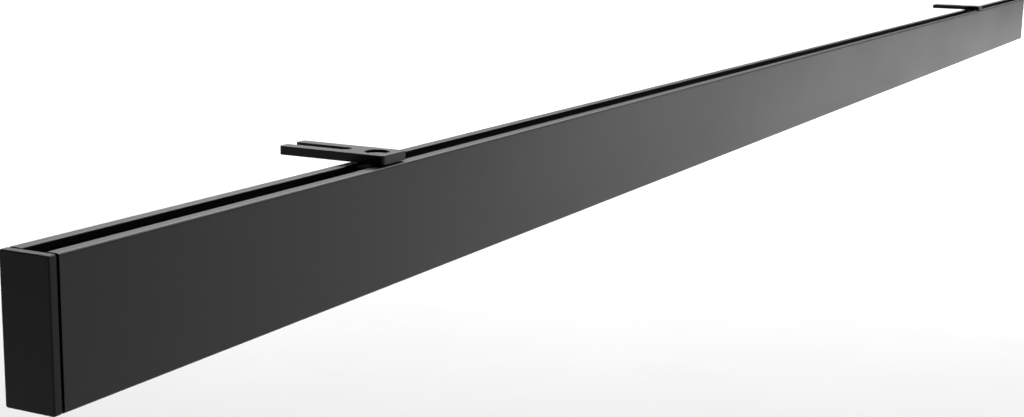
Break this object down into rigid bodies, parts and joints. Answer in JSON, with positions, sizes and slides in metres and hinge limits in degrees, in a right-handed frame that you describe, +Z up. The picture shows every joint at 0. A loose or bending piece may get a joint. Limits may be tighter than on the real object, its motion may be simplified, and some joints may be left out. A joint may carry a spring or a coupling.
{
  "type": "led strip batten",
  "caption": "Slim black pixel light bar with an opal window underneath, a T-slot along the top, flat end caps, and forked bracket plates that slide and swivel in the slot.",
  "frame": {"origin": "centre of the flat underside, in the plane of the diffuser's outer face", "axes": "+X along the bar from the plain near end cap to the inlet end, -Y out of the plain front face, +Y the way the brackets stand out, +Z up out of the T-slot"},
  "size_m": [2.0115, 0.0596, 0.0623],
  "materials": {
    "body_paint": "satin black powder coat",
    "cap_paint": "satin black powder coat",
    "bracket_paint": "satin black powder coat",
    "opal": "opal, frosted",
    "rubber": "matte black",
    "thermal_tape": "grey film",
    "led_board": "white solder mask",
    "control_board": "green solder mask",
    "nylon": "natural nylon",
    "chip_case": "moulded epoxy",
    "inductor_case": "moulded ferrite",
    "fuse_ceramic": "ceramic",
    "capacitor_sleeve": "shrink sleeve",
    "lead_red": "lead insulation",
    "lead_black": "lead insulation",
    "lead_green": "lead insulation",
    "lead_white": "lead insulation",
    "lead_grey": "lead insulation",
    "connector_black": "moulded nylon",
    "nickel": "nickel plated brass",
    "gold": "gold plated",
    "screw_steel": "black oxide",
    "zinc": "zinc plated"
  },
  "bodies": {
    "batten": {"extrusion": "body_paint", "near_end_cap": "cap_paint", "far_end_cap": "cap_paint", "near_cap_gasket": "rubber", "far_cap_gasket": "rubber", "diffuser": "opal", "led_board_1": "led_board", "thermal_tape_1": "thermal_tape", "led_board_2": "led_board", "thermal_tape_2": "thermal_tape", "led_board_3": "led_board", "thermal_tape_3": "thermal_tape", "led_board_4": "led_board", "thermal_tape_4": "thermal_tape", "board_link_1": "nylon", "board_link_2": "nylon", "board_link_3": "nylon", "control_board": "control_board", "microcontroller": "chip_case", "data_transceiver": "chip_case", "voltage_regulator": "chip_case", "led_driver_1": "chip_case", "led_driver_2": "chip_case", "led_driver_3": "chip_case", "led_driver_4": "chip_case", "inductor": "inductor_case", "fuse": "fuse_ceramic", "input_capacitor": "capacitor_sleeve", "output_capacitor": "capacitor_sleeve", "input_terminal": "nylon", "output_terminal": "nylon", "inlet_lead_1": "lead_red", "inlet_lead_2": "lead_black", "inlet_lead_3": "lead_green", "inlet_lead_4": "lead_white", "led_lead": "lead_grey", "inlet_shell": "nickel", "inlet_insulator": "connector_black", "inlet_seal": "rubber", "inlet_pin_1": "gold", "inlet_pin_2": "gold", "inlet_pin_3": "gold", "inlet_pin_4": "gold"},
    "near_clamp": {"near_t_nut": "zinc", "near_clamp_screw": "screw_steel"},
    "near_bracket": {"near_bracket_plate": "bracket_paint"},
    "far_clamp": {"far_t_nut": "zinc", "far_clamp_screw": "screw_steel"},
    "far_bracket": {"far_bracket_plate": "bracket_paint"}
  },
  "joints": [
    {"name": "near_bracket_slide", "type": "slide", "parent": "batten", "child": "near_clamp", "axis": [1, 0, 0], "range_m": [-0.2086, 0.7164]},
    {"name": "near_bracket_swivel", "type": "hinge", "parent": "near_clamp", "child": "near_bracket", "pos_m": [-0.7714, 0, 0.06015], "axis": [0, 0, 1], "continuous": true},
    {"name": "far_bracket_slide", "type": "slide", "parent": "batten", "child": "far_clamp", "axis": [1, 0, 0], "range_m": [-0.616, 0.309]},
    {"name": "far_bracket_swivel", "type": "hinge", "parent": "far_clamp", "child": "far_bracket", "pos_m": [0.671, 0, 0.06015], "axis": [0, 0, 1], "continuous": true}
  ]
}
